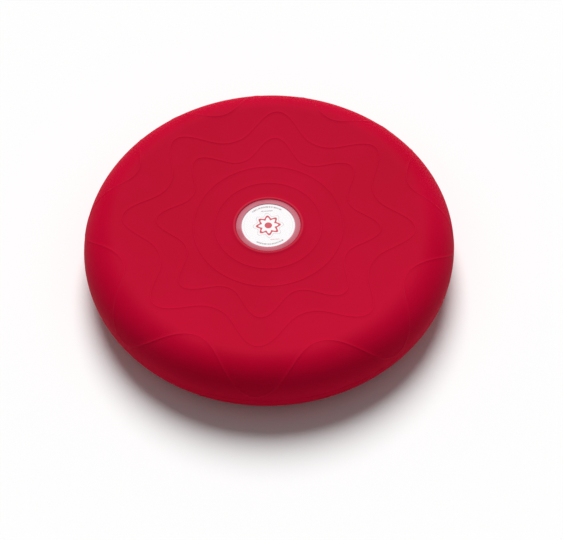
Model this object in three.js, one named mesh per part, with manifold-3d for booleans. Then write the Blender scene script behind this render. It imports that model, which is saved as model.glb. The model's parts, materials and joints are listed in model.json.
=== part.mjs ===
// Wobble cushion: an air-filled disc that tilts under the person who sits or stands on it.
// Millimetres, +Z up. The origin is the centre of the face that rests on the floor.
import * as THREE from "three";
import { mergeVertices } from "three/addons/utils/BufferGeometryUtils.js";
import Module from "manifold-3d";

const wasm = await Module();
wasm.setup();

// ---- Driving sizes: the bag ----
const DISC_DIAMETER = 360;
const DISC_HEIGHT = 64; // from the floor face to the highest ring of the seat face, blown up
const DISH_DEPTH = 4; // how far the middle of the seat face lies below that ring
const SHOULDER_LEAN = 5; // degrees, the steepest slope of the dish, where it meets the rim
const SKIN_WALL = 3;
const SEAM_BAND_WIDTH = 9; // measured up the inside of the rim
const SEAM_BAND_WALL = 2;

// ---- Driving sizes: the label in the middle of the seat face ----
const PRINT_RADIUS = 26;
const PRINT_THICKNESS = 0.3;
const COVER_EDGE_WIDTH = 5.2; // how far the clear cover reaches beyond the print
const COVER_THICKNESS = 0.4;
const COVER_SINK = 0.1; // how far the cover lies below the seat face
const LIP_WIDTH = 3.2;
const LIP_HEIGHT = 0.6;

// ---- Driving sizes: the valve in the back of the rim ----
const VALVE_FLANGE_RADIUS = 7.5;
const VALVE_FLANGE_THICKNESS = 1.2;
const VALVE_FLANGE_SINK = 0.5; // how far the flange's face lies below the skin
const VALVE_STEM_RADIUS = 5;
const VALVE_LENGTH = 16;
const VALVE_BORE_RADIUS = 3.2;
const VALVE_MOUTH_RADIUS = 2; // the hole into the bag, past the core
const VALVE_FLOOR = 1.5; // the end wall that keeps the core in
const BACKING_RADIUS = 9;
const BACKING_WALL = 1.5;
const BACKING_TO_SEAM = 2; // between the backing pad and the seam band
const CORE_LENGTH = 5;
const CORE_DIMPLE_RADIUS = 1.6; // guides the pump needle to the middle
const CORE_DIMPLE_DEPTH = 1.4;
const PLUG_STEM_LENGTH = 7.5;
const PLUG_HEAD_RADIUS = 4.8;
const PLUG_HEAD_THICKNESS = 1.4;
const PLUG_CHAMFER = 0.5;
const PLUG_GRIP_LENGTH = 6;
const PLUG_GRIP_WIDTH = 1.6;
const PLUG_GRIP_HEIGHT = 1.2;

// ---- Clearances ----
const FIT_GAP = 0.3; // between pieces that touch
const SEAM_GAP = 0.3; // between the edges of the two half skins

// ---- Fineness of the facets ----
const DISC_SEGMENTS = 64;
const VALVE_SEGMENTS = 32;
const RIM_STEPS = 9;
const SHOULDER_STEPS = 2;
const SEAT_STEPS = 6;
const LIP_STEPS = 4;
const BAND_STEPS = 2;

// ---- Worked out from the driving sizes ----
const discRadius = DISC_DIAMETER / 2;
const rimRadius = DISC_HEIGHT / 2; // the rim is a full half round
const flatRadius = discRadius - rimRadius;
const innerRimRadius = rimRadius - SKIN_WALL;
const shoulderLean = THREE.MathUtils.degToRad(SHOULDER_LEAN);
const shoulderAngle = Math.PI / 2 + shoulderLean; // where the rim's arc turns into the dish
const seatCentre = DISC_HEIGHT - DISH_DEPTH;
const bandRadius = innerRimRadius - FIT_GAP; // outer face of what lies against the inside of the rim
const bandAngle = SEAM_BAND_WIDTH / 2 / bandRadius;

const coverRadius = PRINT_RADIUS + COVER_EDGE_WIDTH;
const recessRadius = coverRadius + FIT_GAP;
const lipRadius = recessRadius + LIP_WIDTH;
const coverTop = seatCentre - COVER_SINK;
const printTop = coverTop - COVER_THICKNESS - FIT_GAP;
const printBottom = printTop - PRINT_THICKNESS;
const recessFloor = printBottom - FIT_GAP;

const valveAngle = (SEAM_BAND_WIDTH / 2 + BACKING_TO_SEAM + BACKING_RADIUS) / bandRadius; // below the equator
const flangeFace = -VALVE_FLANGE_SINK;
const flangeBack = flangeFace - VALVE_FLANGE_THICKNESS;
const valveEnd = flangeFace - VALVE_LENGTH;
const coreRadius = VALVE_BORE_RADIUS - FIT_GAP;
const coreEnd = valveEnd + VALVE_FLOOR + FIT_GAP;
const coreFace = coreEnd + CORE_LENGTH;
const plugSeat = flangeFace + FIT_GAP; // underside of the plug's head
const plugEnd = plugSeat - FIT_GAP - PLUG_STEM_LENGTH;

// ---- Materials ----
const skinRed = new THREE.MeshStandardMaterial({ color: 0xc01736, roughness: 0.55, metalness: 0 });
const valveRed = new THREE.MeshStandardMaterial({ color: 0xa5142c, roughness: 0.5, metalness: 0 });
const printWhite = new THREE.MeshStandardMaterial({ color: 0xf8f6f5, roughness: 0.6, metalness: 0 });
const clearFilm = new THREE.MeshStandardMaterial({
  color: 0xf2d9dc,
  roughness: 0.3,
  metalness: 0,
  transparent: true,
  opacity: 0.4,
});
const rubberBlack = new THREE.MeshStandardMaterial({ color: 0x1d1c1c, roughness: 0.8, metalness: 0 });
const plugWhite = new THREE.MeshStandardMaterial({ color: 0xe9e6e1, roughness: 0.4, metalness: 0 });

// ---- Outlines and solids ----
// An outline's points are (distance from the turning axis, height).
function point(radius, height) {
  return new THREE.Vector2(radius, height);
}

// Points on an arc about (centreRadius, centreHeight). Angles are measured up from pointing outwards.
function arc(centreRadius, centreHeight, radius, from, to, steps) {
  const points = [];
  for (let i = 0; i <= steps; i += 1) {
    const angle = from + ((to - from) * i) / steps;
    points.push(point(centreRadius + radius * Math.cos(angle), centreHeight + radius * Math.sin(angle)));
  }
  return points;
}

// The outline turned about the Z axis.
function revolve(outline, segments) {
  return new THREE.LatheGeometry(outline, segments).rotateX(Math.PI / 2);
}

function toSolid(geometry) {
  const plain = geometry.clone();
  plain.deleteAttribute("normal");
  plain.deleteAttribute("uv");
  const merged = mergeVertices(plain, 1e-4);
  return new wasm.Manifold(
    new wasm.Mesh({
      numProp: 3,
      vertProperties: new Float32Array(merged.attributes.position.array),
      triVerts: new Uint32Array(merged.index.array),
    }),
  );
}

function toGeometry(solid) {
  const mesh = solid.getMesh();
  const geometry = new THREE.BufferGeometry();
  geometry.setAttribute("position", new THREE.BufferAttribute(mesh.vertProperties, 3));
  geometry.setIndex(new THREE.BufferAttribute(mesh.triVerts, 1));
  return geometry;
}

function piece(name, geometry, material) {
  const mesh = new THREE.Mesh(geometry, material);
  mesh.name = name;
  return mesh;
}

// ---- The valve's own frame: +Z out of the bag, with the origin on the skin's outer face ----
const valveFrame = new THREE.Group();
valveFrame.position.set(
  0,
  flatRadius + rimRadius * Math.cos(valveAngle),
  rimRadius - rimRadius * Math.sin(valveAngle),
);
valveFrame.rotation.x = -(Math.PI / 2 + valveAngle);
valveFrame.updateMatrix();

// A full round rod in the valve's frame, moved to the part's frame.
function valveRod(radius, bottom, top) {
  const outline = [point(0, bottom), point(radius, bottom), point(radius, top), point(0, top)];
  return toSolid(revolve(outline, VALVE_SEGMENTS).applyMatrix4(valveFrame.matrix));
}

// ---- The bag ----
function makeLowerSkin() {
  const outerEdge = -Math.asin(SEAM_GAP / 2 / rimRadius);
  const innerEdge = -Math.asin(SEAM_GAP / 2 / innerRimRadius);
  const outline = [
    point(0, 0),
    ...arc(flatRadius, rimRadius, rimRadius, -Math.PI / 2, outerEdge, RIM_STEPS),
    ...arc(flatRadius, rimRadius, innerRimRadius, innerEdge, -Math.PI / 2, RIM_STEPS),
    point(0, SKIN_WALL),
  ];
  const pocket = valveRod(VALVE_FLANGE_RADIUS + FIT_GAP, flangeBack - FIT_GAP, VALVE_LENGTH);
  const hole = valveRod(VALVE_STEM_RADIUS + FIT_GAP, -VALVE_LENGTH, VALVE_LENGTH);
  const skin = toSolid(revolve(outline, DISC_SEGMENTS)).subtract(pocket).subtract(hole);
  return piece("lower_skin", toGeometry(skin), skinRed);
}

// The dish of the seat face, from startRadius out to the rim's arc. It is level in the middle and
// meets the arc at the arc's own slope.
function dish(startRadius, centreHeight, arcRadius) {
  const endRadius = flatRadius - arcRadius * Math.sin(shoulderLean);
  const rise = rimRadius + arcRadius * Math.cos(shoulderLean) - centreHeight;
  const power = (Math.tan(shoulderLean) * endRadius) / rise;
  const points = [];
  for (let i = 0; i < SEAT_STEPS; i += 1) {
    const radius = startRadius + ((endRadius - startRadius) * i) / SEAT_STEPS;
    points.push(point(radius, centreHeight + rise * (radius / endRadius) ** power));
  }
  return points;
}

// From the dish over the highest ring of the shoulder and down to the edge at the seam.
function shoulderAndRim(radius, edgeAngle) {
  const top = Math.PI / 2;
  return [
    ...arc(flatRadius, rimRadius, radius, shoulderAngle, top, SHOULDER_STEPS).slice(0, -1),
    ...arc(flatRadius, rimRadius, radius, top, edgeAngle, RIM_STEPS),
  ];
}

// The raised lip round the label's recess.
function lip() {
  const points = [];
  for (let i = 0; i < LIP_STEPS; i += 1) {
    const share = i / LIP_STEPS;
    points.push(point(recessRadius + LIP_WIDTH * share, seatCentre + LIP_HEIGHT * Math.sin(Math.PI * share)));
  }
  return points;
}

function makeUpperSkin() {
  const outerEdge = Math.asin(SEAM_GAP / 2 / rimRadius);
  const innerEdge = Math.asin(SEAM_GAP / 2 / innerRimRadius);
  const innerFloor = recessFloor - SKIN_WALL;
  const stepRadius = recessRadius + SKIN_WALL;
  const outer = [
    point(0, recessFloor),
    point(recessRadius, recessFloor),
    ...lip(),
    ...dish(lipRadius, seatCentre, rimRadius),
    ...shoulderAndRim(rimRadius, outerEdge),
  ];
  const inner = [
    point(0, innerFloor),
    point(stepRadius, innerFloor),
    ...dish(stepRadius, seatCentre - SKIN_WALL, innerRimRadius),
    ...shoulderAndRim(innerRimRadius, innerEdge),
  ];
  return piece("upper_skin", revolve([...inner, ...outer.reverse()], DISC_SEGMENTS), skinRed);
}

function makeSeamRing() {
  const inside = bandRadius - SEAM_BAND_WALL;
  const outline = [
    ...arc(flatRadius, rimRadius, bandRadius, -bandAngle, bandAngle, BAND_STEPS),
    ...arc(flatRadius, rimRadius, inside, bandAngle, -bandAngle, BAND_STEPS),
  ];
  outline.push(outline[0].clone());
  return piece("seam_ring", revolve(outline, DISC_SEGMENTS), skinRed);
}

// ---- The label ----
function makeLabelDisc() {
  const outline = [
    point(0, printBottom),
    point(PRINT_RADIUS, printBottom),
    point(PRINT_RADIUS, printTop),
    point(0, printTop),
  ];
  return piece("label_disc", revolve(outline, DISC_SEGMENTS), printWhite);
}

// The cover is a shallow cap: its edge is bonded to the recess, and the print lies under its middle.
function makeLabelCover() {
  const pocketRadius = PRINT_RADIUS + FIT_GAP;
  const outline = [
    point(0, coverTop - COVER_THICKNESS),
    point(pocketRadius, coverTop - COVER_THICKNESS),
    point(pocketRadius, recessFloor + FIT_GAP),
    point(coverRadius, recessFloor + FIT_GAP),
    point(coverRadius, coverTop),
    point(0, coverTop),
  ];
  return piece("label_cover", revolve(outline, DISC_SEGMENTS), clearFilm);
}

// ---- The valve ----
function makeValveBody() {
  const outline = [
    point(VALVE_MOUTH_RADIUS, valveEnd),
    point(VALVE_STEM_RADIUS, valveEnd),
    point(VALVE_STEM_RADIUS, flangeBack),
    point(VALVE_FLANGE_RADIUS, flangeBack),
    point(VALVE_FLANGE_RADIUS, flangeFace),
    point(VALVE_BORE_RADIUS, flangeFace),
    point(VALVE_BORE_RADIUS, valveEnd + VALVE_FLOOR),
    point(VALVE_MOUTH_RADIUS, valveEnd + VALVE_FLOOR),
    point(VALVE_MOUTH_RADIUS, valveEnd),
  ];
  return piece("valve_body", revolve(outline, VALVE_SEGMENTS), valveRed);
}

// The backing pad follows the inside of the rim: it is cut from a thin shell of the rim's own shape.
function makeValveBacking() {
  const quarter = Math.PI / 2;
  const shellOutline = [
    ...arc(flatRadius, rimRadius, bandRadius, -quarter, 0, RIM_STEPS),
    ...arc(flatRadius, rimRadius, bandRadius - BACKING_WALL, 0, -quarter, RIM_STEPS),
  ];
  shellOutline.push(shellOutline[0].clone());
  const shell = toSolid(revolve(shellOutline, DISC_SEGMENTS));
  const rod = valveRod(BACKING_RADIUS, -VALVE_LENGTH, VALVE_LENGTH);
  const hole = valveRod(VALVE_STEM_RADIUS + FIT_GAP, -VALVE_LENGTH, VALVE_LENGTH);
  const pad = shell.intersect(rod).subtract(hole);
  return piece("valve_backing", toGeometry(pad), valveRed);
}

function makeValveCore() {
  const outline = [
    point(0, coreEnd),
    point(coreRadius, coreEnd),
    point(coreRadius, coreFace),
    point(CORE_DIMPLE_RADIUS, coreFace),
    point(0, coreFace - CORE_DIMPLE_DEPTH),
  ];
  return piece("valve_core", revolve(outline, VALVE_SEGMENTS), rubberBlack);
}

function makeValvePlug() {
  const headTop = plugSeat + PLUG_HEAD_THICKNESS;
  const outline = [
    point(0, plugEnd),
    point(coreRadius - PLUG_CHAMFER, plugEnd),
    point(coreRadius, plugEnd + PLUG_CHAMFER),
    point(coreRadius, plugSeat),
    point(PLUG_HEAD_RADIUS, plugSeat),
    point(PLUG_HEAD_RADIUS, headTop - PLUG_CHAMFER),
    point(PLUG_HEAD_RADIUS - PLUG_CHAMFER, headTop),
    point(0, headTop),
  ];
  const grip = new THREE.BoxGeometry(PLUG_GRIP_LENGTH, PLUG_GRIP_WIDTH, PLUG_GRIP_HEIGHT + PLUG_CHAMFER);
  grip.translate(0, 0, headTop + (PLUG_GRIP_HEIGHT - PLUG_CHAMFER) / 2);
  const plug = toSolid(revolve(outline, VALVE_SEGMENTS)).add(toSolid(grip));
  return piece("valve_plug", toGeometry(plug), plugWhite);
}

valveFrame.add(makeValveBody(), makeValveCore(), makeValvePlug());

const cushion = new THREE.Group();
cushion.add(makeLowerSkin(), makeUpperSkin(), makeSeamRing());
cushion.add(makeLabelDisc(), makeLabelCover());
cushion.add(makeValveBacking(), valveFrame);

export default cushion;
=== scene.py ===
# %% [markdown]
# # A wobble cushion
# A wobble cushion is a round bag of soft vinyl that is blown up with a pump and sat or stood on. Its
# upper skin has a dished seat face with raised ribs, and a round label under a clear cover. The lower
# skin has rows of pips, and a valve in its rim. The two skins are welded along the middle of the rim.
# This script gives a plain CAD model of the cushion its looks. The CAD model is loaded first and is
# never moved: it says how large every piece is and where it goes.
# %% Load the frame
import json
import math

import bpy
import numpy as np
from mathutils import Matrix, Vector


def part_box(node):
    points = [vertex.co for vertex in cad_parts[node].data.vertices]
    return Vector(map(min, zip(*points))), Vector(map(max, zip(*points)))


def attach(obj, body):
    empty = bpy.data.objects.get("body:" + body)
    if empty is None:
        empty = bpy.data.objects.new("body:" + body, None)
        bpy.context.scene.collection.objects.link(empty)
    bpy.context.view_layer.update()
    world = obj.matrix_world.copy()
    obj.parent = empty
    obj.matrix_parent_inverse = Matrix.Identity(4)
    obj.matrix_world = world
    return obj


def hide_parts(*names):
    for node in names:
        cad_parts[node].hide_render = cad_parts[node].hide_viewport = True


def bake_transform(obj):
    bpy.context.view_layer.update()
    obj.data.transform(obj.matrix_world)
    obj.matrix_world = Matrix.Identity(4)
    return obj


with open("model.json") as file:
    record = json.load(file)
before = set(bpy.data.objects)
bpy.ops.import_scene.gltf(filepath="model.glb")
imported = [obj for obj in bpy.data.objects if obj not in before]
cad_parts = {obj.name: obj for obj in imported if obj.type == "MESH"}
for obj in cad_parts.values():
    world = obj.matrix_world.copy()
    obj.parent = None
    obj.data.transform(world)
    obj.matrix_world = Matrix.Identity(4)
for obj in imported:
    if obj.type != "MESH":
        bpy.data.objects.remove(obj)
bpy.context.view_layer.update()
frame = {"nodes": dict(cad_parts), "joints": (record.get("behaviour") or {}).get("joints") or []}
print("CAD nodes:", sorted(frame["nodes"]))

# %% [markdown]
# The sizes that the pieces share are read from the CAD nodes, so that nothing has to be fitted later.
# The rim of the cushion is a full half round, so its radius is half the height.
# %% Sizes from the frame
MM = 0.001
FIT_GAP = 0.3 * MM  # the CAD model's gap between pieces that touch
HAIRLINE = 0.08 * MM  # the gap between pieces that touch in plain sight
COVER_SUNK = 0.1 * MM  # how far the label's cover lies below the seat face
SKIN_WALL = 3 * MM
disc_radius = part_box("upper_skin")[1].x
disc_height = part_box("upper_skin")[1].z
rim_radius = disc_height / 2
flat_radius = disc_radius - rim_radius
cover_low, cover_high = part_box("label_cover")
print_low, print_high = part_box("label_disc")
seat_centre = cover_high.z + COVER_SUNK
recess_radius = cover_high.x + HAIRLINE
recess_depth = seat_centre - print_low.z + FIT_GAP
print(f"disc {2000 * disc_radius:.0f} mm across and {1000 * disc_height:.0f} mm high")

# %% [markdown]
# ## Camera
# The camera looks down on the cushion from the front. A long lens from 1.55 m keeps the circles of the
# seat face close to true ellipses. The camera is turned a little about its own line of sight, and aims
# a little below and to the right of the label, so the cushion lies high and to the left in the picture.
# %% Camera
CAMERA_DISTANCE = 1.552
CAMERA_ELEVATION = math.radians(52.8)
CAMERA_ROLL = math.radians(2.05)
CAMERA_LENS = 103.2
AIM_RIGHT = 0.0127
AIM_DOWN = 0.0434

label_centre = Vector((0, 0, seat_centre))
sight = Vector((0, math.cos(CAMERA_ELEVATION), -math.sin(CAMERA_ELEVATION)))
level_up = Vector((0, math.sin(CAMERA_ELEVATION), math.cos(CAMERA_ELEVATION)))
level_right = Vector((1, 0, 0))
right = level_right * math.cos(CAMERA_ROLL) - level_up * math.sin(CAMERA_ROLL)
up = level_up * math.cos(CAMERA_ROLL) + level_right * math.sin(CAMERA_ROLL)
eye = label_centre - sight * CAMERA_DISTANCE
back = (eye - (label_centre + right * AIM_RIGHT - up * AIM_DOWN)).normalized()
right = up.cross(back).normalized()
up = back.cross(right)

bpy.ops.object.select_all(action="DESELECT")
bpy.ops.object.camera_add(location=eye)
camera = bpy.context.object
camera.rotation_euler = Matrix((right, up, back)).transposed().to_euler()
camera.data.lens = CAMERA_LENS
bpy.context.scene.camera = camera
print("camera at", [round(x, 3) for x in eye])

# %% [markdown]
# ## Floor
# The floor is one large pale plane. It is matt, without any gloss, so that nothing is mirrored in it.
# %% Floor
FLOOR_WIDTH = 12
bpy.ops.mesh.primitive_plane_add(size=FLOOR_WIDTH)
floor = bpy.context.object
floor.name = "floor"
floor_paint = bpy.data.materials.new("pale_floor")
floor_paint.use_nodes = True
floor_shader = floor_paint.node_tree.nodes["Principled BSDF"]
floor_shader.inputs["Base Color"].default_value = (0.99, 0.99, 0.99, 1)
floor_shader.inputs["Roughness"].default_value = 0.9
floor_shader.inputs["Specular IOR Level"].default_value = 0.0
floor.data.materials.append(floor_paint)
print("floor", FLOOR_WIDTH, "m wide")

# %% [markdown]
# ## Light
# The main light is a wide, soft sun that comes over the back of the cushion, so the far side of the rim
# is bright, the near side falls into shade, and the shadow lies to the front. An area light would do as
# well, but a sun lights the whole seat face evenly. The dim white world fills the shade.
# %% Sun and world
SUN_ELEVATION = math.radians(52)
SUN_SPREAD = math.radians(35)  # a wide sun throws a soft shadow
SUN_STRENGTH = 3.28
WORLD_STRENGTH = 0.18
to_sun = Vector((0, math.cos(SUN_ELEVATION), math.sin(SUN_ELEVATION)))
bpy.ops.object.light_add(type="SUN", location=to_sun)
sun = bpy.context.object
sun.rotation_euler = to_sun.to_track_quat("Z", "Y").to_euler()
sun.data.energy = SUN_STRENGTH
sun.data.angle = SUN_SPREAD

world = bpy.data.worlds.new("studio")
world.use_nodes = True
world.node_tree.nodes["Background"].inputs["Color"].default_value = (1, 1, 1, 1)
world.node_tree.nodes["Background"].inputs["Strength"].default_value = WORLD_STRENGTH
bpy.context.scene.world = world
bpy.context.scene.view_settings.view_transform = "Standard"
print("sun over the back, and a dim white world")

# %% [markdown]
# ## Work on one piece
# Blender's operators work on the selected pieces and on the active one, so before each job the piece
# that is meant is selected alone. One helper does that, and nothing is selected by accident.
# %% Select one piece
def pick(piece):
    """Selects a piece alone and makes it the active one."""
    bpy.ops.object.select_all(action="DESELECT")
    piece.select_set(True)
    bpy.context.view_layer.objects.active = piece


print("selecting helper ready")

# %% [markdown]
# ## A helper that grows round pieces
# Almost every piece here is round. One is grown as by hand: a ring of edges is added, and extruded to
# the radius and height of each next station, until the outline comes back to the middle. The last
# ring and the first are then drawn together to a point, which closes the piece, and the faces are
# turned outwards. Bending or ribs can come afterwards, because the rings stay where they are.
# %% Grow a round piece from rings
def close_ring():
    """Extrudes the selected ring and draws the new one together to its middle."""
    bpy.ops.mesh.extrude_edges_move()
    bpy.ops.mesh.merge(type="CENTER")


def grow(name, stations, sides, hollow=False):
    """A closed round piece. Each station is (radius, height). Both ends close on the axis, or, where
    the piece is hollow, on each other."""
    radius, height = stations[0]
    bpy.ops.object.select_all(action="DESELECT")
    bpy.ops.mesh.primitive_circle_add(vertices=sides, radius=radius, location=(0, 0, height))
    bpy.ops.object.transform_apply(location=True, rotation=True, scale=True)
    piece = bpy.context.object
    piece.name = name
    bpy.ops.object.mode_set(mode="EDIT")
    bpy.ops.mesh.select_mode(type="EDGE")
    bpy.ops.mesh.select_all(action="SELECT")
    for next_radius, next_height in stations[1:]:
        bpy.ops.mesh.extrude_edges_move(TRANSFORM_OT_translate={"value": (0, 0, next_height - height)})
        share = next_radius / radius
        bpy.ops.transform.resize(value=(share, share, 1))
        radius, height = next_radius, next_height
    if not hollow:
        close_ring()
    bpy.ops.mesh.select_all(action="DESELECT")
    bpy.ops.mesh.select_non_manifold()
    if hollow:
        bpy.ops.mesh.bridge_edge_loops()
    else:
        close_ring()
    bpy.ops.mesh.select_all(action="SELECT")
    bpy.ops.mesh.normals_make_consistent(inside=False)
    bpy.ops.object.mode_set(mode="OBJECT")
    return piece


print("growing helper ready")

# %% [markdown]
# ## Helpers for outlines and points
# An outline often needs values that are evenly spread, or points on a rounded edge. The points of a
# mesh are read and written all at once as a table of numbers, which is much faster than one by one.
# %% Outlines and points
def spread(start, end, count):
    """count values evenly between start and end, without the ends."""
    return [start + (end - start) * i / (count + 1) for i in range(1, count + 1)]


def rounded(middle, reach, start, end, steps=6):
    """Points of an outline on a rounded edge or bead. middle and reach are each (radius, height)."""
    angles = [start + (end - start) * i / steps for i in range(steps + 1)]
    return [(middle[0] + reach[0] * math.cos(a), middle[1] + reach[1] * math.sin(a)) for a in angles]


def get_points(piece):
    points = np.empty(len(piece.data.vertices) * 3)
    piece.data.vertices.foreach_get("co", points)
    return points.reshape(-1, 3)


def set_points(piece, points):
    piece.data.vertices.foreach_set("co", points.ravel())
    piece.data.update()


def smooth(piece, angle=40):
    pick(piece)
    bpy.ops.object.shade_smooth_by_angle(angle=math.radians(angle))


print("outline helpers ready")

# %% [markdown]
# ## The form of the blown-up bag
# The skins are moulded vinyl, and air keeps them in the mould's form. Cloth simulation would let the
# sharp ribs sag, so each skin is first grown flat, as if it were unrolled, and then laid onto the form.
# On the flat skin a point's distance from the middle is its distance along the skin, and its height
# below zero is its depth inside the skin. A form is a table of places along the outer face, from the
# middle to the seam: radius, height, and the direction that points out of the bag.
# %% Forms of the two skins
SHOULDER_LEAN = math.radians(5)  # the steepest slope of the dish, where it meets the rim
FOOT_RISE = 1.8 * MM  # how far the middle of the underside lies above the floor
FOOT_INNER = 118 * MM
FOOT_OUTER = 128 * MM


def measure_form(radius, height, outward):
    """Distance along an outline, with its place and its outward direction at each step."""
    step = np.hypot(np.diff(radius), np.diff(height))
    along = np.concatenate(([0], np.cumsum(step)))
    slope_r, slope_h = np.gradient(radius, along), np.gradient(height, along)
    return {
        "along": along,
        "radius": radius,
        "height": height,
        "out_r": -slope_h * outward,
        "out_h": slope_r * outward,
    }


def rim_arc(start, end):
    """Places on the rim's half round. Angles are measured up from pointing outwards."""
    angle = np.linspace(start, end, 400)[1:]
    return flat_radius + rim_radius * np.cos(angle), rim_radius * (1 + np.sin(angle))


def upper_form():
    dish_end = flat_radius - rim_radius * math.sin(SHOULDER_LEAN)
    rise = rim_radius * (1 + math.cos(SHOULDER_LEAN)) - seat_centre
    power = math.tan(SHOULDER_LEAN) * dish_end / rise
    dish_radius = np.linspace(0, dish_end, 600)
    dish_height = seat_centre + rise * (dish_radius / dish_end) ** power
    arc_radius, arc_height = rim_arc(math.pi / 2 + SHOULDER_LEAN, 0)
    return measure_form(
        np.concatenate((dish_radius, arc_radius)), np.concatenate((dish_height, arc_height)), 1
    )


def lower_form():
    sole_radius = np.linspace(0, flat_radius, 600)
    share = np.clip((FOOT_OUTER - sole_radius) / (FOOT_OUTER - FOOT_INNER), 0, 1)
    sole_height = FOOT_RISE * share * share * (3 - 2 * share)
    arc_radius, arc_height = rim_arc(-math.pi / 2, 0)
    return measure_form(
        np.concatenate((sole_radius, arc_radius)), np.concatenate((sole_height, arc_height)), -1
    )


top_form = upper_form()
bottom_form = lower_form()
print(f"seat face {1000 * top_form['along'][-1]:.1f} mm along the skin, from the middle to the seam")

# %% [markdown]
# ## From the flat skin to its form
# A point of the flat skin goes to the place in the table that lies as far along the outline, and then
# inwards by its depth. A shrinkwrap modifier could do this for the outer face, but not for the wall.
# %% Lay a flat skin onto its form
def lay_on(form, along, turn, depth):
    """The places of points of a flat skin, once it lies on the form."""
    radius = np.interp(along, form["along"], form["radius"])
    height = np.interp(along, form["along"], form["height"])
    radius = radius - depth * np.interp(along, form["along"], form["out_r"])
    height = height - depth * np.interp(along, form["along"], form["out_h"])
    return np.column_stack((radius * np.cos(turn), radius * np.sin(turn), height))


def flat_places(piece):
    """Distance from the middle, turn and depth of each point of a skin that is still flat."""
    x, y, z = get_points(piece).T
    return np.hypot(x, y), np.arctan2(y, x), -z


print("laying helpers ready")

# %% [markdown]
# ## The ribs of the seat face
# Two ribs are circles and three are waves with eight lobes, each wider than the one inside it. A wave
# is a sum of cosines of eight times the turn: the first gives the swing, and the second, at twice the
# pace, sharpens the points and rounds the bays. The outermost wave runs down the rim almost to the seam.
# %% Ribs
RIB_HEIGHT = 0.27 * MM
RIB_HALF_WIDTH = 1.2 * MM
LOBES = 8
LOBE_TURN = math.radians(84.42)  # where one lobe points, from +X
RIBS = (  # mean distance along the skin, swing, sharpening
    (51.5 * MM, 0, 0),
    (72 * MM, 0, 0),
    (93.6 * MM, 13 * MM, 1.6 * MM),
    (122.6 * MM, 16.2 * MM, 2.4 * MM),
    (166.2 * MM, 24.1 * MM, 2.1 * MM),
)
ACROSS_RIB = (-1, -0.66, -0.33, 0, 0.33, 0.66, 1)  # rings across a rib, in half widths
LIP_WIDTH = 3.2 * MM
LIP_HEIGHT = 0.4 * MM
LIP_PAINTED_HIGHLIGHT = 10  # how much more the lip is made glossy than a rib, and how much paler its colour is painted: a painted highlight
SEAM_HALF_GAP = 0.06 * MM
EDGE_ROUND = 0.4 * MM
seam_top = top_form["along"][-1] - SEAM_HALF_GAP
lip_end = recess_radius + LIP_WIDTH


def wave(turn, swing, sharpening):
    """How far a rib lies beyond its mean distance, and how fast that changes with the turn."""
    lobe = LOBES * (turn - LOBE_TURN)
    offset = swing * np.cos(lobe) + sharpening * np.cos(2 * lobe)
    rate = -LOBES * (swing * np.sin(lobe) + 2 * sharpening * np.sin(2 * lobe))
    return offset, rate


def rib_profile(along, mean):
    """1 on the crest of a rib and 0 beside it, on the flat skin."""
    across = np.clip(np.abs(along - mean) / RIB_HALF_WIDTH, 0, 1)
    return 0.5 + 0.5 * np.cos(math.pi * across)


print(len(RIBS), "ribs,", LOBES, "lobes")

# %% [markdown]
# ## Rings that follow the ribs
# On the flat skin the rings are true circles. Between two ribs they are spaced out again, so that the
# rings of a rib lie along its wave and the rings between the ribs share out the room. A wave runs
# partly outwards, and there its rings are spread, so that the rib keeps its width.
# %% Swing the rings
def swing_rings(form, along, turn):
    """Moves the straight rings of the flat skin so that they follow the waves."""
    flat_knots = [np.full_like(along, 0), np.full_like(along, lip_end)]
    true_knots = list(flat_knots)
    for mean, swing, sharpening in RIBS:
        offset, rate = wave(turn, swing, sharpening)
        radius = np.interp(mean + offset, form["along"], form["radius"])
        widening = np.sqrt(1 + (rate / radius) ** 2)
        for side in (-1, 1):
            flat_knots.append(np.full_like(along, mean + side * RIB_HALF_WIDTH))
            true_knots.append(mean + offset + side * RIB_HALF_WIDTH * widening)
    for knots in (flat_knots, true_knots):
        knots.append(np.full_like(along, seam_top - EDGE_ROUND))
        knots.append(np.full_like(along, form["along"][-1]))
    flat_knots, true_knots = np.array(flat_knots), np.array(true_knots)
    piece = np.clip((along[None, :] >= flat_knots).sum(0) - 1, 0, len(flat_knots) - 2)
    every = np.arange(len(along))
    flat_low, flat_high = flat_knots[piece, every], flat_knots[piece + 1, every]
    true_low, true_high = true_knots[piece, every], true_knots[piece + 1, every]
    share = (along - flat_low) / (flat_high - flat_low)
    return true_low + share * (true_high - true_low)


print("rings can swing")

# %% [markdown]
# ## Upper skin
# The rings of the flat skin are close together only where the form needs them: on the lip round the
# label's recess, across each rib, and where the rim curves. The outer face is grown from the recess's
# floor outwards, then the edge at the seam, and then the inner face back to the middle, so the skin
# is one closed shell with a real wall. It is then laid onto its form, and the lip and ribs are raised.
# %% Stations of the upper skin
SIDES = 640  # rings of this many edges, a multiple of the lobes
PLAIN_RINGS = (3, 3, 6, 8, 11, 15)  # between the ribs, from the label outwards
INNER_RINGS = 26  # on the inside of the wall
CENTRE_RING = 6 * MM  # the smallest ring, before the skin closes on its middle
LIP_RINGS = (0, 0.1, 0.22, 0.36, 0.5, 0.64, 0.78, 0.9)  # across the lip, in shares of its width


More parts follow.
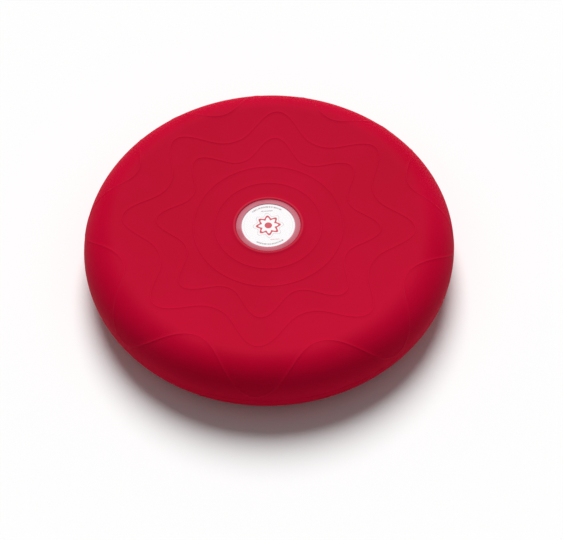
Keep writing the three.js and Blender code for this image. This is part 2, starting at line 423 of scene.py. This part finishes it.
def face_stations():
    """From the middle of the recess's floor, up its side, over the lip and out to the seam."""
    corner, side = 0.25 * MM, 0.3 * MM
    floor_rings = (CENTRE_RING, 14 * MM, 22 * MM, recess_radius - corner)
    stations = [(radius, -recess_depth) for radius in floor_rings]
    stations += [(recess_radius, side - recess_depth), (recess_radius, -side)]
    stations += [(recess_radius + LIP_WIDTH * share, 0) for share in LIP_RINGS]
    last = lip_end
    stations.append((last, 0))
    for rings, (mean, _, _) in zip(PLAIN_RINGS, RIBS):
        stations += [(radius, 0) for radius in spread(last, mean - RIB_HALF_WIDTH, rings)]
        stations += [(mean + share * RIB_HALF_WIDTH, 0) for share in ACROSS_RIB]
        last = mean + RIB_HALF_WIDTH
    stations += [(radius, 0) for radius in spread(last, seam_top - EDGE_ROUND, PLAIN_RINGS[-1])]
    return stations


def edge_stations(seam, wall):
    """The rounded edge at the seam, and the start of the inner face."""
    rounding = [(seam - EDGE_ROUND, 0), (seam - 0.4 * EDGE_ROUND, -0.1 * EDGE_ROUND)]
    return rounding + [(seam, -0.5 * EDGE_ROUND), (seam, -wall)]


inner_floor = recess_depth + SKIN_WALL
inner_step = recess_radius + SKIN_WALL
upper_stations = face_stations() + edge_stations(seam_top, SKIN_WALL)
upper_stations += [(radius, -SKIN_WALL) for radius in spread(seam_top, inner_step, INNER_RINGS)]
upper_stations += [(inner_step, -SKIN_WALL), (inner_step, -inner_floor), (CENTRE_RING, -inner_floor)]
upper_skin = grow("upper_skin_moulded", upper_stations, SIDES)
print(len(upper_stations), "rings of", SIDES, "edges")

# %% [markdown]
# ## The upper skin takes its form
# The points keep two notes for the materials: how much each lies on a rib or the lip, and where it was
# made, so that a pattern stays on the skin when the cushion tilts. The crests of the ribs are rubbed
# shiny and a little paler. The lip is glossy, and its colour is painted much paler all round, as a
# painted highlight.
# %% Lay the upper skin onto its form
ON_FACE = 1e-6  # a point whose depth is less than this lies on the outer face


def remember(piece, rib_share):
    """Stores the rib share, with the lip's painted highlight, and where each point was made."""
    ribs = piece.data.attributes.new("rib", "FLOAT", "POINT")
    ribs.data.foreach_set("value", rib_share.astype(np.float32))
    place = piece.data.attributes.new("made_at", "FLOAT_VECTOR", "POINT")
    place.data.foreach_set("vector", get_points(piece).astype(np.float32).ravel())


along, turn, depth = flat_places(upper_skin)
outer = depth < ON_FACE
ribs_here = np.zeros_like(along)
for mean, _, _ in RIBS:
    ribs_here = np.maximum(ribs_here, rib_profile(along, mean))
ribs_here[~outer] = 0
lip_share = np.clip((along - recess_radius) / LIP_WIDTH, 0, 1)
lip_here = np.where(outer, np.sin(math.pi * lip_share), 0)
raised = RIB_HEIGHT * ribs_here + LIP_HEIGHT * lip_here
followed = np.where(outer, swing_rings(top_form, along, turn), along)
set_points(upper_skin, lay_on(top_form, followed, turn, depth - raised))
# The lip's share is a painted highlight: it makes the vinyl much paler all round the lip.
remember(upper_skin, ribs_here + LIP_PAINTED_HIGHLIGHT * lip_here)
smooth(upper_skin)
print(len(upper_skin.data.polygons), "faces in the upper skin")

# %% [markdown]
# ## Lower skin
# The underside rests on a level foot ring. Inside the ring the skin lies a little higher, and low round
# pips reach down to the floor, one in the middle and six more on each next ring. They grip the floor,
# and the cushion can be turned over to sit on them.
# %% Stations of the lower skin
PIP_RADIUS = 3.6 * MM
PIP_PITCH = 16 * MM
PIP_RINGS = 6
PIP_FIRST_COUNT = 6
LOWER_INNER_RINGS = 28  # on the inside of the wall
RIM_RINGS = 30  # from the foot ring to the seam
seam_bottom = bottom_form["along"][-1] - SEAM_HALF_GAP

lower_stations = [(share * PIP_RADIUS, 0) for share in (0.3, 0.66, 1)]
last = PIP_RADIUS
for ring in range(1, PIP_RINGS + 1):
    middle = ring * PIP_PITCH
    lower_stations += [(radius, 0) for radius in spread(last, middle - PIP_RADIUS, 3)]
    lower_stations += [(middle + share * PIP_RADIUS, 0) for share in ACROSS_RIB]
    last = middle + PIP_RADIUS
lower_stations += [(radius, 0) for radius in spread(last, FOOT_INNER, 3)]
lower_stations += [(radius, 0) for radius in (FOOT_INNER, *spread(FOOT_INNER, FOOT_OUTER, 4), FOOT_OUTER)]
lower_stations += [(radius, 0) for radius in spread(FOOT_OUTER, seam_bottom - EDGE_ROUND, RIM_RINGS)]
lower_stations += edge_stations(seam_bottom, SKIN_WALL)
lower_stations += [(radius, -SKIN_WALL) for radius in spread(seam_bottom, CENTRE_RING, LOWER_INNER_RINGS)]
lower_stations.append((CENTRE_RING, -SKIN_WALL))
lower_skin = grow("lower_skin_moulded", lower_stations, SIDES)
print(len(lower_stations), "rings of", SIDES, "edges")

# %% [markdown]
# ## The lower skin takes its form
# The lower skin is laid onto its own form, and the pips are raised. Copies of one small dome could be
# joined to the skin instead, but then each would need a hole to sit in, and the skin is one moulding.
# %% Lay the lower skin onto its form
def pip_share(along, turn):
    """1 on the top of a pip and 0 between the pips. Each point looks only at the nearest pip."""
    ring = np.clip(np.round(along / PIP_PITCH), 0, PIP_RINGS)
    count = np.maximum(ring * PIP_FIRST_COUNT, 1)
    nearest = np.round(turn * count / (2 * math.pi)) * 2 * math.pi / count
    nearest = np.where(ring == 0, turn, nearest)
    middle = ring * PIP_PITCH
    gap = np.hypot(along * np.cos(turn - nearest) - middle, along * np.sin(turn - nearest))
    share = np.clip(1 - (gap / PIP_RADIUS) ** 2, 0, 1)
    return share * share * (3 - 2 * share)


along, turn, depth = flat_places(lower_skin)
pips_here = np.where(depth < ON_FACE, pip_share(along, turn), 0)
set_points(lower_skin, lay_on(bottom_form, along, turn, depth - FOOT_RISE * pips_here))
print(len(lower_skin.data.polygons), "faces in the lower skin")

# %% [markdown]
# ## The valve's place
# The valve sits in the back of the rim, below the seam. The CAD model's joint for the plug gives the
# direction in which it is pulled, and that direction meets the round rim at the valve's own place. The
# valve's pieces are grown upright about the origin and then carried to that place.
# %% Carry a piece to the valve
VALVE_SIDES = 96
WELD = 0.002 * MM  # points that are closer than this are one point
pull = next(joint for joint in frame["joints"] if joint["name"] == "plug_pull")
valve_axis = Vector(pull["axis"]).normalized()
valve_place = Vector((0, flat_radius, rim_radius)) + valve_axis * rim_radius
valve_turn = valve_axis.to_track_quat("Z", "X")


def apply_modifier(piece, kind, **settings):
    modifier = piece.modifiers.new(kind.lower(), kind)
    for name, value in settings.items():
        setattr(modifier, name, value)
    bpy.context.view_layer.objects.active = piece
    bpy.ops.object.modifier_apply(modifier=modifier.name)


def carry_to_valve(piece):
    """Turns and moves an upright piece to the valve's place, and leaves its object at the origin."""
    piece.rotation_mode = "QUATERNION"
    piece.rotation_quaternion = valve_turn
    piece.location = valve_place
    pick(piece)
    bpy.ops.object.transform_apply(location=True, rotation=True, scale=True)


print("valve at", [round(1000 * x, 1) for x in valve_place], "mm")

# %% [markdown]
# ## Clean edges after a cut
# Where one piece is cut out of another, Blender leaves faces with many corners, and slivers without
# area, which shade badly. They are cleaned up as by hand: close points are merged, the many-sided faces
# are split into triangles, and faces without area are dissolved.
# %% Clean up after a boolean
def clean_cut(piece):
    """Splits the many-sided faces that a boolean leaves, and removes those without area."""
    pick(piece)
    bpy.ops.object.mode_set(mode="EDIT")
    bpy.ops.mesh.select_mode(type="FACE")
    bpy.ops.mesh.select_all(action="SELECT")
    bpy.ops.mesh.remove_doubles(threshold=WELD)
    bpy.ops.mesh.select_all(action="DESELECT")
    bpy.ops.mesh.select_face_by_sides(number=4, type="GREATER")
    bpy.ops.mesh.quads_convert_to_tris(quad_method="BEAUTY", ngon_method="BEAUTY")
    bpy.ops.mesh.select_all(action="SELECT")
    bpy.ops.mesh.dissolve_degenerate(threshold=WELD)
    bpy.ops.object.mode_set(mode="OBJECT")


print("cleaning helper ready")

# %% [markdown]
# ## A seat for the valve
# The valve's flange lies in a shallow round pocket, and its stem goes through the skin. A cutter with
# the flange's and the stem's outline, a little wider than both, is taken out of the lower skin.
# %% Cut the valve's seat
FLANGE_RADIUS = 7.5 * MM
FLANGE_FACE = -0.5 * MM
FLANGE_BACK = -1.7 * MM
STEM_RADIUS = 5 * MM
CUTTER_CORE = 2 * MM
CUTTER_REACH = 8 * MM

cutter_outline = [
    (CUTTER_CORE, CUTTER_REACH),
    (FLANGE_RADIUS + FIT_GAP, CUTTER_REACH),
    (FLANGE_RADIUS + FIT_GAP, FLANGE_BACK - FIT_GAP),
    (STEM_RADIUS + FIT_GAP, FLANGE_BACK - FIT_GAP),
    (STEM_RADIUS + FIT_GAP, -CUTTER_REACH),
    (CUTTER_CORE, -CUTTER_REACH),
]
cutter = grow("valve_seat_cutter", cutter_outline, VALVE_SIDES)
carry_to_valve(cutter)
apply_modifier(lower_skin, "BOOLEAN", operation="DIFFERENCE", solver="EXACT", object=cutter)
bpy.data.objects.remove(cutter)
clean_cut(lower_skin)
remember(lower_skin, np.zeros(len(lower_skin.data.vertices)))
smooth(lower_skin)
print(len(lower_skin.data.polygons), "faces with the valve's seat")

# %% [markdown]
# ## Valve body
# The body is one moulding: a flange with a rounded edge and a raised bead, and a stem with grooves that
# hold it in the skin. The bore runs through it, and narrows at the inner end so that the rubber core
# can't be pushed into the bag.
# %% Valve body
BORE_RADIUS = 3.2 * MM
MOUTH_RADIUS = 2 * MM
BODY_END = -16.5 * MM
BORE_END = -15 * MM
GROOVES = (-14.2 * MM, -11.8 * MM, -9.4 * MM)  # where the grooves of the stem start
GROOVE_RADIUS = 4.6 * MM
FLANGE_ROUND = 0.4 * MM
BEAD_MIDDLE = 6.2 * MM
BEAD_REACH = (0.45 * MM, 0.28 * MM)  # half its width, and its height

body_outline = [(MOUTH_RADIUS, BORE_END), (MOUTH_RADIUS, BODY_END), (4.4 * MM, BODY_END)]
body_outline.append((STEM_RADIUS, BODY_END + 0.6 * MM))
for groove in GROOVES:
    body_outline += [(STEM_RADIUS, groove), (GROOVE_RADIUS, groove + 0.35 * MM)]
    body_outline += [(GROOVE_RADIUS, groove + 1.1 * MM), (STEM_RADIUS, groove + 1.3 * MM)]
body_outline += [(STEM_RADIUS, FLANGE_BACK), (FLANGE_RADIUS - 0.25 * MM, FLANGE_BACK)]
body_outline.append((FLANGE_RADIUS, FLANGE_BACK + 0.2 * MM))
edge_middle = (FLANGE_RADIUS - FLANGE_ROUND, FLANGE_FACE - FLANGE_ROUND)
body_outline += rounded(edge_middle, (FLANGE_ROUND, FLANGE_ROUND), 0, math.pi / 2)
body_outline += rounded((BEAD_MIDDLE, FLANGE_FACE), BEAD_REACH, math.pi / 8, 7 * math.pi / 8)
body_outline += [(5.6 * MM, FLANGE_FACE), (3.5 * MM, FLANGE_FACE)]
body_outline.append((BORE_RADIUS + 0.08 * MM, FLANGE_FACE - 0.08 * MM))
body_outline += [(BORE_RADIUS, FLANGE_FACE - 0.3 * MM), (BORE_RADIUS, BORE_END)]
valve_body = grow("valve_body_moulded", body_outline, VALVE_SIDES, hollow=True)
carry_to_valve(valve_body)
smooth(valve_body, 35)
print(len(valve_body.data.polygons), "faces in the valve's body")

# %% [markdown]
# ## Valve plug
# The plug keeps dirt out of the valve. Its stem has two sealing rings and a rounded tip, its head is
# slightly domed, and a fin across the head gives the fingers a hold. The stem and the head are one
# outline, so they are grown together.
# %% Valve plug
PLUG_RADIUS = 2.9 * MM  # at the crest of a sealing ring
PLUG_WAIST = 2.6 * MM
PLUG_END = -8 * MM
SEALING_RINGS = (-6.6 * MM, -3.4 * MM)
HEAD_RADIUS = 4.8 * MM
HEAD_UNDER = -0.2 * MM
HEAD_TOP = 1.2 * MM
HEAD_ROUND = 0.5 * MM
HEAD_CROWN = 0.15 * MM  # how far the middle of the head stands above its rounded edge

plug_outline = [(1 * MM, PLUG_END), (1.9 * MM, PLUG_END + 0.1 * MM), (2.45 * MM, PLUG_END + 0.45 * MM)]
for crest in SEALING_RINGS:
    plug_outline += [(PLUG_WAIST, crest - 0.7 * MM), (2.82 * MM, crest - 0.4 * MM), (PLUG_RADIUS, crest)]
    plug_outline += [(2.82 * MM, crest + 0.4 * MM), (PLUG_WAIST, crest + 0.7 * MM)]
plug_outline += [(PLUG_WAIST, HEAD_UNDER - 0.3 * MM), (2.8 * MM, HEAD_UNDER), (4.5 * MM, HEAD_UNDER)]
plug_outline += [(4.72 * MM, HEAD_UNDER + 0.1 * MM), (HEAD_RADIUS, HEAD_UNDER + 0.3 * MM)]
edge_middle = (HEAD_RADIUS - HEAD_ROUND, HEAD_TOP - HEAD_CROWN - HEAD_ROUND)
plug_outline += rounded(edge_middle, (HEAD_ROUND, HEAD_ROUND), 0, math.pi / 2)
plug_outline += [(3 * MM, HEAD_TOP - 0.05 * MM), (1.2 * MM, HEAD_TOP)]
valve_plug = grow("valve_plug_moulded", plug_outline, VALVE_SIDES)
print(len(plug_outline), "rings in the plug")

# %% [markdown]
# ## Finger grip of the plug
# The fin is a cube that is drawn out to a thin upright plate, bevelled, and then joined to the head. Its
# foot lies inside the head, so that the two become one closed piece.
# %% Fin of the plug
FIN_LENGTH = 5.16 * MM
FIN_WIDTH = 1.12 * MM
FIN_TOP = 2.4 * MM
FIN_ROUND = 0.32 * MM

bpy.ops.object.select_all(action="DESELECT")
fin_foot = HEAD_TOP - 0.6 * MM
bpy.ops.mesh.primitive_cube_add(size=1, location=(0, 0, (fin_foot + FIN_TOP) / 2))
fin = bpy.context.object
fin.scale = (FIN_LENGTH, FIN_WIDTH, FIN_TOP - fin_foot)
bpy.ops.object.transform_apply(location=True, rotation=True, scale=True)
apply_modifier(fin, "BEVEL", width=FIN_ROUND, segments=4)
apply_modifier(valve_plug, "BOOLEAN", operation="UNION", solver="EXACT", object=fin)
bpy.data.objects.remove(fin)
clean_cut(valve_plug)
carry_to_valve(valve_plug)
smooth(valve_plug, 35)
print(len(valve_plug.data.polygons), "faces in the valve's plug")

# %% [markdown]
# ## Label
# The label is a thin printed disc in the recess, under a clear cover whose rim is bonded to the vinyl
# round it. Both lie a hair below the lip, so a sitter doesn't rub them off.
# %% Label print and cover
LABEL_SIDES = 256
LABEL_CORE = 4 * MM  # the smallest ring of the print and the cover
PRINT_EDGE = 0.06 * MM  # how far the print's edge is cut off
COVER_EDGE = 0.1 * MM
COVER_WALL = 0.4 * MM
COVER_ROUND = ((0.05, 0.18), (0.2, 0.05), (0.45, 0))  # inwards from its rim and down from its top, in mm
print_radius = print_high.x
cover_radius = cover_high.x
cover_under = cover_high.z - COVER_WALL

print_outline = [(LABEL_CORE, print_low.z), (print_radius - PRINT_EDGE, print_low.z)]
print_outline += [(print_radius, print_low.z + PRINT_EDGE), (print_radius, print_high.z - PRINT_EDGE)]
print_outline.append((print_radius - PRINT_EDGE, print_high.z))
print_outline += [(print_radius / 2, print_high.z), (LABEL_CORE, print_high.z)]
label_print = grow("label_print", print_outline, LABEL_SIDES)

cover_outline = [(LABEL_CORE, cover_under), (print_radius + HAIRLINE, cover_under)]
cover_outline += [(print_radius + HAIRLINE, cover_low.z), (cover_radius - COVER_EDGE, cover_low.z)]
cover_outline += [(cover_radius, cover_low.z + COVER_EDGE), (cover_radius, cover_high.z - 0.35 * MM)]
for inwards, down in COVER_ROUND:
    cover_outline.append((cover_radius - inwards * MM, cover_high.z - down * MM))
cover_outline += [(print_radius, cover_high.z), (LABEL_CORE, cover_high.z)]
label_cover = grow("label_cover_film", cover_outline, LABEL_SIDES)
for piece in (label_print, label_cover):
    remember(piece, np.zeros(len(piece.data.vertices)))
    smooth(piece, 35)
print("label", round(2000 * print_radius), "mm across, cover", round(2000 * cover_radius, 1), "mm")

# %% [markdown]
# ## Materials as sums
# A material is a network of nodes, and long networks are hard to read. Here each output is wrapped, so
# that an expression such as `0.5 + 0.1 * clouds` adds the Math nodes by itself. Every other kind of
# node comes from one method. Numbers that are the same all over a piece are set on the shader itself.
# %% Wrap a node's output
class Link:
    """One output of a material's nodes. Sums, products and comparisons of links add Math nodes."""

    def __init__(self, socket):
        self.socket = socket

    def node(self, kind, settings=None, inputs=None, output=0):
        """Adds any node: its settings first, then the values or links of its inputs."""
        made = self.socket.id_data.nodes.new(kind)
        for name, value in (settings or {}).items():
            setattr(made, name, value)
        for place, value in (inputs or {}).items():
            if isinstance(value, Link):
                self.socket.id_data.links.new(value.socket, made.inputs[place])
            else:
                made.inputs[place].default_value = value
        return Link(made.outputs[output])

    def math(self, operation, *values):
        return self.node("ShaderNodeMath", {"operation": operation}, dict(enumerate(values)))

    def __add__(self, other):
        return self.math("ADD", self, other)

    def __sub__(self, other):
        return self.math("SUBTRACT", self, other)

    def __mul__(self, other):
        return self.math("MULTIPLY", self, other)

    def __truediv__(self, other):
        return self.math("DIVIDE", self, other)

    def __lt__(self, other):
        return self.math("LESS_THAN", self, other)

    def __gt__(self, other):
        return self.math("GREATER_THAN", self, other)

    def __abs__(self):
        return self.math("ABSOLUTE", self)

    __radd__ = __add__
    __rmul__ = __mul__


print("links add their own Math nodes")

# %% [markdown]
# ## Start a material and finish it
# A new material starts from the shader that Blender gives it. What is the same all over a piece is set
# on the shader at once, and what changes from place to place is linked to it at the end.
# %% Start and feed a material
def new_material(name, finish):
    """A material with the constants of its finish, its shader, and a link to start its nodes from."""
    material = bpy.data.materials.new(name)
    material.use_nodes = True
    shader = material.node_tree.nodes["Principled BSDF"]
    for socket, value in finish.items():
        shader.inputs[socket].default_value = value
    return material, shader, Link(shader.outputs[0])


def feed(shader, **links):
    """Links expressions to the shader. Base_Color stands for Base Color."""
    for name, link in links.items():
        shader.id_data.links.new(link.socket, shader.inputs[name.replace("_", " ")])


print("materials can start")

# %% [markdown]
# ## Patterns
# Clouds, specks and grain are all noise of different scales. A smooth step picks out its high spots, and
# a mix lays one colour over another there. The noise is read at the place where each point was made, or
# at its place on the object, and never at its place in the room, so that it stays with the piece.
# %% Noise, mixes and places
def noise(where, scale, detail=2.0):
    return where.node("ShaderNodeTexNoise", None, {"Vector": where, "Scale": scale, "Detail": detail})


def mix(share, first, second):
    """The first colour where share is 0, and the second where it is 1."""
    inputs = {0: share, 6: first, 7: second}
    return share.node("ShaderNodeMix", {"data_type": "RGBA"}, inputs, output=2)


def bump(height, distance):
    return height.node("ShaderNodeBump", None, {"Height": height, "Distance": distance})


def smooth_step(value, low, high):
    """0 below low and 1 above high, with a smooth rise between."""
    inputs = {"Value": value, "From Min": low, "From Max": high}
    return value.node("ShaderNodeMapRange", {"interpolation_type": "SMOOTHSTEP"}, inputs)


def made_at(start):
    """The place where each point was made. It stays with the skin when the cushion tilts."""
    return start.node("ShaderNodeAttribute", {"attribute_name": "made_at"}, output="Vector")


def object_place(start):
    return start.node("ShaderNodeTexCoord", output="Object")


def from_middle(x, y):
    """How far a place lies from the middle."""
    square = x * x + y * y
    return square.math("SQRT", square)


print("patterns ready")

# %% [markdown]
# ## Vinyl of the skins
# The bag is matt red vinyl. Its colour is a little cloudy, because the paste was never stirred quite
# even, and it has the fine grain of a blasted mould and a faint orange peel. Hands and clothes polish
# the crests of the ribs, and leave pale scuffs here and there. The lip round the label is painted much
# paler all round, as a painted highlight.
# %% Skin vinyl
def skin_vinyl(name, place):
    finish = {"Specular IOR Level": 0.016, "IOR": 1.5}
    material, shader, start = new_material(name, finish)
    where = place(start)
    rib = start.node("ShaderNodeAttribute", {"attribute_name": "rib"}, output="Fac")
    clouds = noise(where, 11, 3)
    specks = noise(where, 420, 2)
    grain = noise(where, 2100, 1)
    peel = noise(where, 240, 1)
    scuffs = smooth_step(noise(where, 26, 4), 0.56, 0.74) * smooth_step(noise(where, 1500, 2), 0.42, 0.7)
    colour = mix(smooth_step(clouds, 0.3, 0.7), (0.494, 0.0011, 0.0250, 1), (0.526, 0.0017, 0.0295, 1))
    colour = mix(smooth_step(specks, 0.62, 0.8) * 0.25, colour, (0.44, 0.001, 0.021, 1))
    # The rib share lays pale wear on the crests of the ribs, and a painted highlight on the lip.
    colour = mix(scuffs * 0.06 + rib * 0.022, colour, (0.66, 0.08, 0.12, 1))
    roughness = 0.52 + 0.10 * (clouds - 0.5) + 0.12 * scuffs - 0.02 * rib
    height = grain * 0.5 + peel * 0.9 + specks * 0.35
    feed(shader, Base_Color=colour, Roughness=roughness, Normal=bump(height, 0.018 * MM))
    return material


bag_vinyl = skin_vinyl("bag_vinyl", made_at)
band_vinyl = skin_vinyl("band_vinyl", object_place)
print("vinyl for the skins and the seam band")

# %% [markdown]
# ## Print of the label
# The print is drawn by distance and turn about the middle: two arcs of small dashes, two plain side arcs,
# and a red wave ring with eight lobes, which repeats the ribs. Its outermost band is darker purple-grey
# all the way round. It holds no words.
# The whole print is turned a little, as labels are when they are stuck on by hand.
# %% Label print
PRINT_TURN = math.radians(3)
ARC_RADIUS = 22.4  # this and the other sizes of the print are in millimetres
ARC_HALF_WIDTH = 0.85
SIDE_ARC_RADIUS = 23.4
WAVE_RADIUS = 9.2
WAVE_SWING = 1.6
LINE_RADIUS = 12.9
LINE_SWING = 1.8
HUB_RADIUS = 3.6
PRINT_RIM = 25.45


def printed_label(name):
    material, shader, start = new_material(name, {"Specular IOR Level": 0.25})
    where = made_at(start)
    turned = where.node(
        "ShaderNodeVectorRotate", {"rotation_type": "Z_AXIS"}, {"Vector": where, "Angle": -PRINT_TURN}
    )
    x, y = [turned.node("ShaderNodeSeparateXYZ", None, {0: turned}, output=axis) / MM for axis in (0, 1)]
    radius = from_middle(x, y)
    turn = y.math("ARCTAN2", y, x)

    def band(value, middle, half_width):
        return value.math("COMPARE", value, middle, half_width)

    def dashes(value, pitch, seed):
        """Short strokes of uneven length along a value."""
        place = {"W": value / pitch + seed, "Scale": 2.3}
        return value.node("ShaderNodeTexNoise", {"noise_dimensions": "1D"}, place) > 0.47

    def at_most_one(value):
        return value.math("MINIMUM", value, 1)

    lobes = turn.math("COSINE", turn * LOBES)
    wave_ring = abs(radius - (WAVE_RADIUS + WAVE_SWING * lobes)) < 1.2
    wave_line = abs(radius - (LINE_RADIUS + LINE_SWING * lobes)) < 0.26
    emblem = wave_ring + (radius < HUB_RADIUS)
    arcs = band(radius, ARC_RADIUS, ARC_HALF_WIDTH)
    top_arc = arcs * band(turn, math.pi / 2, 0.68) * dashes(turn, 0.07, 3)
    bottom_arc = arcs * band(turn, -math.pi / 2, 0.62) * dashes(turn, 0.06, 11)
    side_arcs = band(radius, SIDE_ARC_RADIUS, 0.16) * band(abs(abs(turn) - math.pi / 2), math.pi / 2, 0.62)
    upper_row = band(y, 17.4, 0.6) * band(x, 0, 5.6) * dashes(x, 0.9, 5)
    lower_row = band(y, -17.2, 0.6) * band(x, 5, 4.4) * dashes(x, 0.8, 8)
    rim = radius > PRINT_RIM

    paper = noise(where, 900, 2)
    colour = mix(smooth_step(paper, 0.3, 0.7), (0.90, 0.88, 0.885, 1), (0.93, 0.91, 0.915, 1))
    grey_marks = at_most_one(top_arc + bottom_arc + upper_row)
    colour = mix(grey_marks * 0.75, colour, (0.20, 0.13, 0.15, 1))
    colour = mix(side_arcs * 0.35 + wave_line * 0.6, colour, (0.36, 0.26, 0.29, 1))
    colour = mix(lower_row * 0.6, colour, (0.62, 0.10, 0.15, 1))
    colour = mix(at_most_one(emblem), colour, (0.60, 0.03, 0.06, 1))
    # The outermost band of the print is made darker purple-grey, all the way round.
    colour = mix(rim * 0.6, colour, (0.42, 0.20, 0.28, 1))
    ink = (grey_marks + emblem) * 0.3
    roughness = 0.5 + 0.12 * (paper - 0.5) - 0.08 * ink
    feed(shader, Base_Color=colour, Roughness=roughness, Normal=bump(paper * 0.4 + ink, 0.02 * MM))
    return material


label_ink = printed_label("label_ink")
print("label print without words")

# %% [markdown]
# ## Clear film
# The cover is clear vinyl. It is nearly invisible over the white print, but round the print, where it
# was bonded to the red skin, it has gone milky and shows as a pink ring. Fine rub marks make it less
# clear and less glossy in places.
# %% Clear film
def clear_film(name):
    material, shader, start = new_material(name, {"Specular IOR Level": 0.2, "IOR": 1.45})
    where = made_at(start)
    haze = noise(where, 120, 3)
    rubbed = smooth_step(noise(where, 55, 4), 0.52, 0.7)
    x, y = [where.node("ShaderNodeSeparateXYZ", None, {0: where}, output=axis) for axis in (0, 1)]
    radius = from_middle(x, y)
    bonded = smooth_step(radius, print_radius - 0.1 * MM, print_radius + 0.3 * MM)
    cloudy = smooth_step(haze, 0.3, 0.7)
    clear = mix(cloudy, (0.96, 0.78, 0.87, 1), (0.98, 0.85, 0.92, 1))
    milky = mix(cloudy, (0.63, 0.105, 0.165, 1), (0.66, 0.125, 0.19, 1))
    colour = mix(bonded, clear, milky)
    outer_share = smooth_step(radius, print_radius, cover_radius)
    alpha = 0.008 + 0.72 * bonded - 0.2 * outer_share + 0.01 * (haze - 0.5) + 0.006 * rubbed
    roughness = 0.3 + 0.15 * rubbed + 0.1 * (haze - 0.5)
    feed(shader, Base_Color=colour, Roughness=roughness, Alpha=alpha, Normal=bump(haze, 0.02 * MM))
    return material


cover_film = clear_film("cover_film")
print("film for the cover")

# %% [markdown]
# ## Valve materials
# The valve's body is a harder, darker vinyl than the bag. Its core is black rubber with a dusty bloom,
# and its plug is off-white plastic that has yellowed and picked up grime in patches.
# %% Valve vinyl, rubber and plug plastic
def moulded(name, dark, light, grime, rough, grain_size, grain_depth):
    """A moulded piece: two close tones in clouds, grime in patches, and the mould's grain."""
    material, shader, start = new_material(name, {"Specular IOR Level": 0.3})
    where = object_place(start)
    clouds = noise(where, 130, 3)
    grain = noise(where, 1 / grain_size, 2)
    patches = smooth_step(noise(where, 310, 4), 0.52, 0.72)
    colour = mix(smooth_step(clouds, 0.3, 0.7), dark, light)
    colour = mix(patches * 0.35 + (grain > 0.66) * 0.1, colour, grime)
    roughness = rough + 0.14 * (grain - 0.5) + 0.1 * patches
    feed(shader, Base_Color=colour, Roughness=roughness, Normal=bump(grain + clouds * 0.4, grain_depth))
    return material


valve_vinyl = moulded(
    "valve_vinyl", (0.30, 0.004, 0.020, 1), (0.37, 0.006, 0.028, 1), (0.20, 0.004, 0.012, 1),
    0.42, 0.5 * MM, 0.03 * MM,
)
core_rubber = moulded(
    "core_rubber", (0.010, 0.010, 0.011, 1), (0.020, 0.019, 0.019, 1), (0.06, 0.056, 0.052, 1),
    0.75, 0.4 * MM, 0.05 * MM,
)
plug_plastic = moulded(
    "plug_plastic", (0.72, 0.69, 0.62, 1), (0.80, 0.78, 0.73, 1), (0.50, 0.44, 0.36, 1),
    0.38, 0.45 * MM, 0.02 * MM,
)
print("valve materials ready")


def dress(piece, material):
    piece.data.materials.clear()
    piece.data.materials.append(material)


def stand_for(piece, node, material):
    dress(piece, material)
    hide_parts(node)


stand_for(upper_skin, "upper_skin", bag_vinyl)
stand_for(lower_skin, "lower_skin", bag_vinyl)
stand_for(label_print, "label_disc", label_ink)
stand_for(label_cover, "label_cover", cover_film)
stand_for(valve_body, "valve_body", valve_vinyl)
stand_for(valve_plug, "valve_plug", plug_plastic)
kept_nodes = {"seam_ring": band_vinyl, "valve_backing": valve_vinyl, "valve_core": core_rubber}
for node, material in kept_nodes.items():
    dress(frame["nodes"][node], material)

for piece in (upper_skin, label_print, label_cover):
    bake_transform(piece)
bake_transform(lower_skin)
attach(valve_body, "ring")
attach(valve_plug, "plug")
print("pieces on their bodies")
